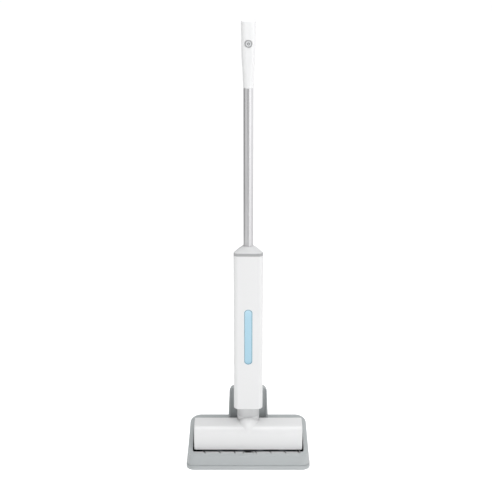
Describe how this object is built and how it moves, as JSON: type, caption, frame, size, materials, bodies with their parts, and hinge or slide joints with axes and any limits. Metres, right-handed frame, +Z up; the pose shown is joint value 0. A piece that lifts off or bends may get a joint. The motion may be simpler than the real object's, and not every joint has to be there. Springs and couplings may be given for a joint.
{
  "type": "wet dry floor scrubber",
  "caption": "Upright wet dry floor scrubber: roller head under a cover, tilting neck, rounded body with a water window, tube and handle, standing in a tray.",
  "frame": {"origin": "middle of the tray's base, on the floor", "axes": "+Z up along the column, +X across the head to the right seen from the front, front faces -Y"},
  "size_m": [0.321, 0.16, 1.138],
  "materials": {
    "tray_grey": "satin moulded, light grey",
    "comb_grey": "satin moulded, light grey",
    "white_shell": "smooth white",
    "grey_plastic": "satin grey",
    "band_grey": "satin mid grey",
    "dark_plastic": "moulded black",
    "window_blue": "translucent pale blue",
    "gasket_clear": "clear edge",
    "aluminium_tube": "satin anodised",
    "steel": "bright",
    "bronze": "sintered bronze",
    "microfibre": "short dark looped pile",
    "rubber": "matt",
    "tank_plastic": "translucent",
    "cell_wrap": "shrink wrap",
    "board_green": "solder mask",
    "button_grey": "satin",
    "bezel_grey": "satin"
  },
  "bodies": {
    "tray": {"tray_shell": "tray_grey", "cradle_guides": "tray_grey", "tray_liner": "dark_plastic", "tray_feet": "rubber", "wringer_comb": "comb_grey"},
    "floor_head": {"head_chassis": "dark_plastic", "belt_cover": "dark_plastic", "belt_cover_screws": "steel", "roller_end_cap": "grey_plastic", "roller_bearings": "bronze", "roller_motor": "steel", "motor_mount": "dark_plastic", "drive_belt": "rubber", "wheel_axles": "steel", "dirty_water_box": "tank_plastic", "dirty_box_lid": "grey_plastic", "squeegee": "rubber", "wetting_bar": "dark_plastic", "pivot_pin": "steel"},
    "head_cover": {"head_cover": "white_shell"},
    "roller": {"roller_sleeve": "microfibre", "roller_core": "grey_plastic", "roller_axle": "steel", "roller_pulley": "dark_plastic"},
    "motor_rotor": {"motor_shaft": "steel", "motor_pulley": "bronze"},
    "wheel_left": {"wheel_left": "rubber"},
    "wheel_right": {"wheel_right": "rubber"},
    "neck": {"neck_block": "white_shell", "pivot_bushes": "bronze", "neck_collar": "grey_plastic", "swivel_post": "steel", "post_clip": "steel"},
    "column": {"front_shell": "white_shell", "rear_shell": "white_shell", "body_screws": "steel", "window_gasket": "gasket_clear", "window_lens": "window_blue", "water_tank": "tank_plastic", "tank_seal": "rubber", "flap_hinges": "grey_plastic", "charge_socket": "dark_plastic", "swivel_bush": "bronze", "water_pump": "dark_plastic", "pump_bracket": "dark_plastic", "water_hoses": "rubber", "battery_cells": "cell_wrap", "battery_holder": "dark_plastic", "control_board": "board_green", "cap_ring": "band_grey", "top_cap": "grey_plastic", "tube": "aluminium_tube", "handle_front": "white_shell", "handle_rear": "white_shell", "handle_screws": "steel", "button_bezel": "bezel_grey", "button_board": "board_green"},
    "power_button": {"power_button": "button_grey"},
    "fill_cap": {"fill_cap": "grey_plastic"},
    "charge_flap": {"charge_flap": "rubber"}
  },
  "joints": [
    {"name": "lift_off", "type": "slide", "parent": "tray", "child": "floor_head", "axis": [0, 0, 1], "range_m": [0, 0.36]},
    {"name": "cover_release", "type": "slide", "parent": "floor_head", "child": "head_cover", "axis": [0, 0, 1], "range_m": [0, 0.025]},
    {"name": "roller_spin", "type": "hinge", "parent": "floor_head", "child": "roller", "pos_m": [0, -0.019, 0.041], "axis": [1, 0, 0], "continuous": true},
    {"name": "motor_spin", "type": "hinge", "parent": "floor_head", "child": "motor_rotor", "pos_m": [0, 0.039, 0.034], "axis": [1, 0, 0], "continuous": true},
    {"name": "wheel_left_spin", "type": "hinge", "parent": "floor_head", "child": "wheel_left", "pos_m": [-0.11, 0.049, 0.022], "axis": [1, 0, 0], "continuous": true},
    {"name": "wheel_right_spin", "type": "hinge", "parent": "floor_head", "child": "wheel_right", "pos_m": [0.11, 0.049, 0.022], "axis": [1, 0, 0], "continuous": true},
    {"name": "neck_recline", "type": "hinge", "parent": "floor_head", "child": "neck", "pos_m": [0, 0.015, 0.088], "axis": [-1, 0, 0], "range_deg": [0, 80]},
    {"name": "body_swivel", "type": "hinge", "parent": "neck", "child": "column", "pos_m": [0, 0.015, 0.1445], "axis": [0, 0, 1], "range_deg": [-45, 45]},
    {"name": "power_press", "type": "slide", "parent": "column", "child": "power_button", "axis": [0, 1, 0], "range_m": [0, 0.0012], "stiffness_N_per_m": 400, "springref_m": -0.0005},
    {"name": "fill_cap_open", "type": "hinge", "parent": "column", "child": "fill_cap", "pos_m": [0, 0.0397, 0.529], "axis": [1, 0, 0], "range_deg": [0, 110]},
    {"name": "charge_flap_open", "type": "hinge", "parent": "column", "child": "charge_flap", "pos_m": [0, 0.0397, 0.2155], "axis": [1, 0, 0], "range_deg": [0, 110]}
  ],
  "couplings": [
    {"joint": "neck_recline", "follows": "lift_off", "rad_per_m": 3.878},
    {"joint": "motor_spin", "follows": "roller_spin", "ratio": 2}
  ]
}
